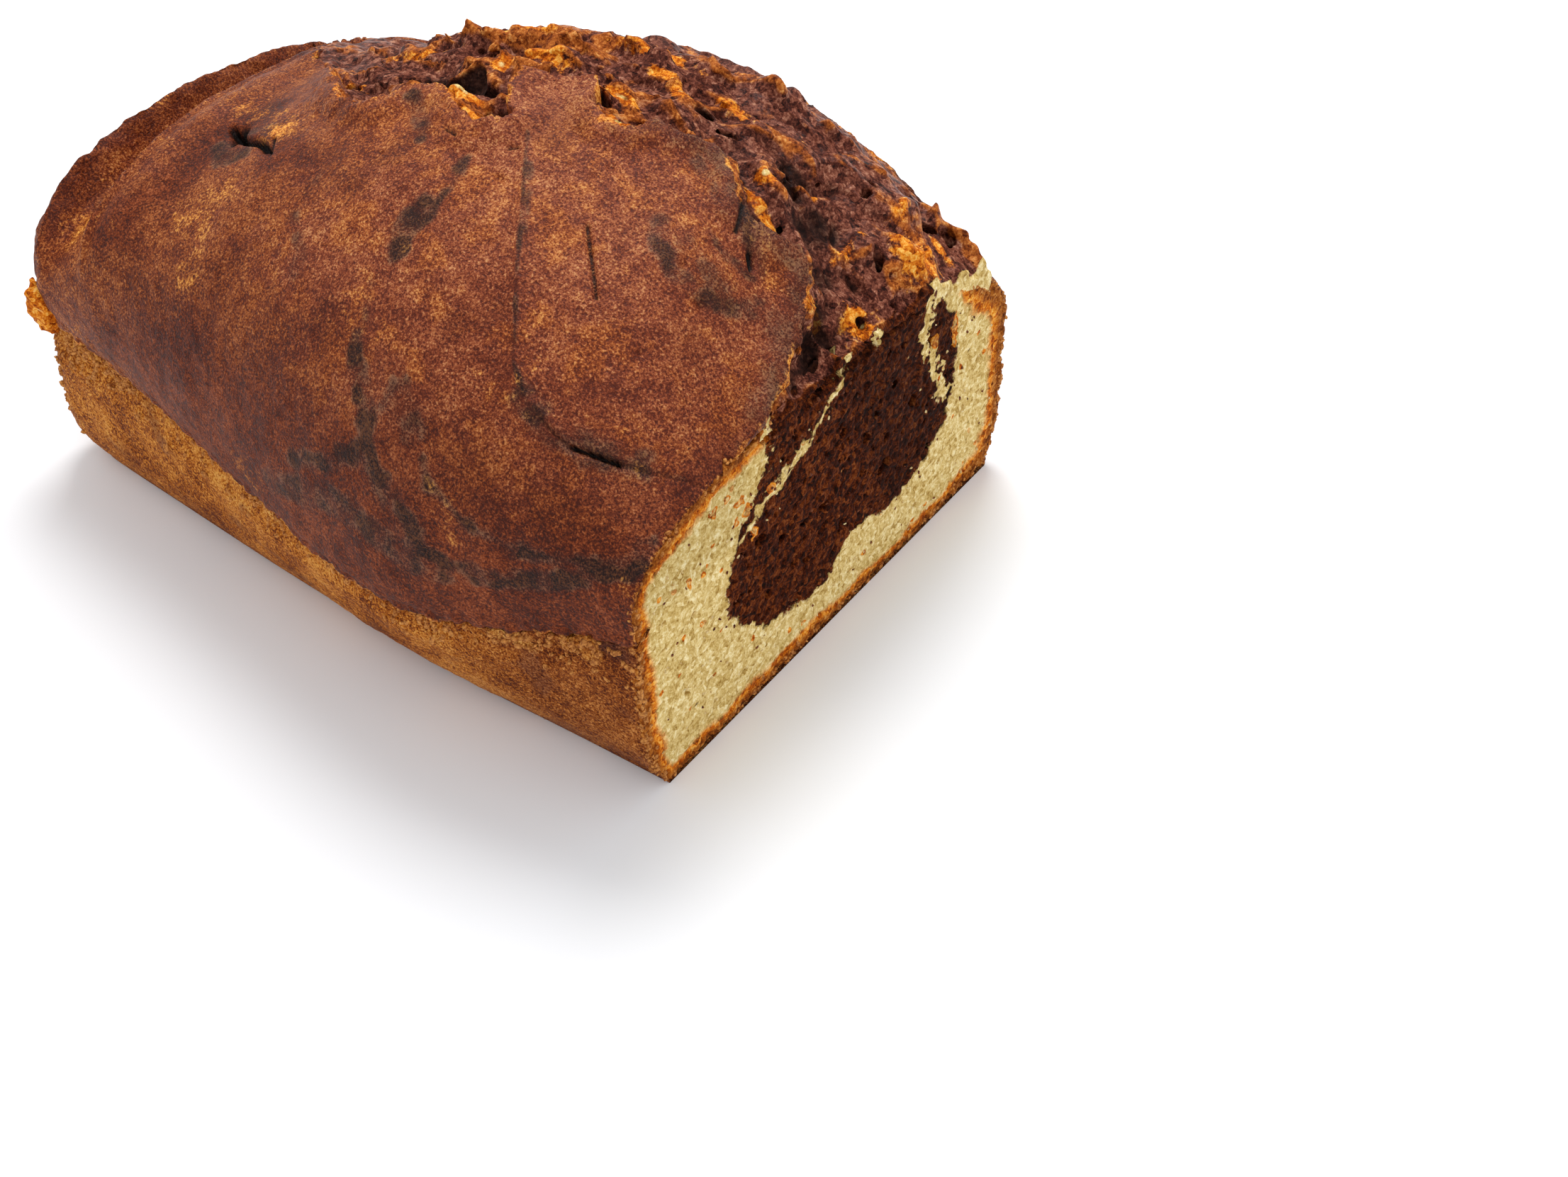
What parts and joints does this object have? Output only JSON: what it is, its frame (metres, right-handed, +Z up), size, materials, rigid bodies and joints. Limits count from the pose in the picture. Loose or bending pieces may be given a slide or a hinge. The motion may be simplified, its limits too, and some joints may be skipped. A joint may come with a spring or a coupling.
{
  "type": "marble loaf cake",
  "caption": "Domed marble loaf cake cut open at one end, with a browned crust, a burst along its top and a flat base to rest on.",
  "frame": {"origin": "middle of the flat base, at the centre of the bottom of the bounding box", "axes": "+X along the loaf towards the cut face, +Y towards the back side, +Z up"},
  "size_m": [0.172, 0.148, 0.1027],
  "materials": {
    "crust": "matte browned crust",
    "crumb": "matte open crumb, pale vanilla with dark cocoa swirls"
  },
  "bodies": {
    "root": {"marble_loaf": "crust"}
  },
  "joints": []
}
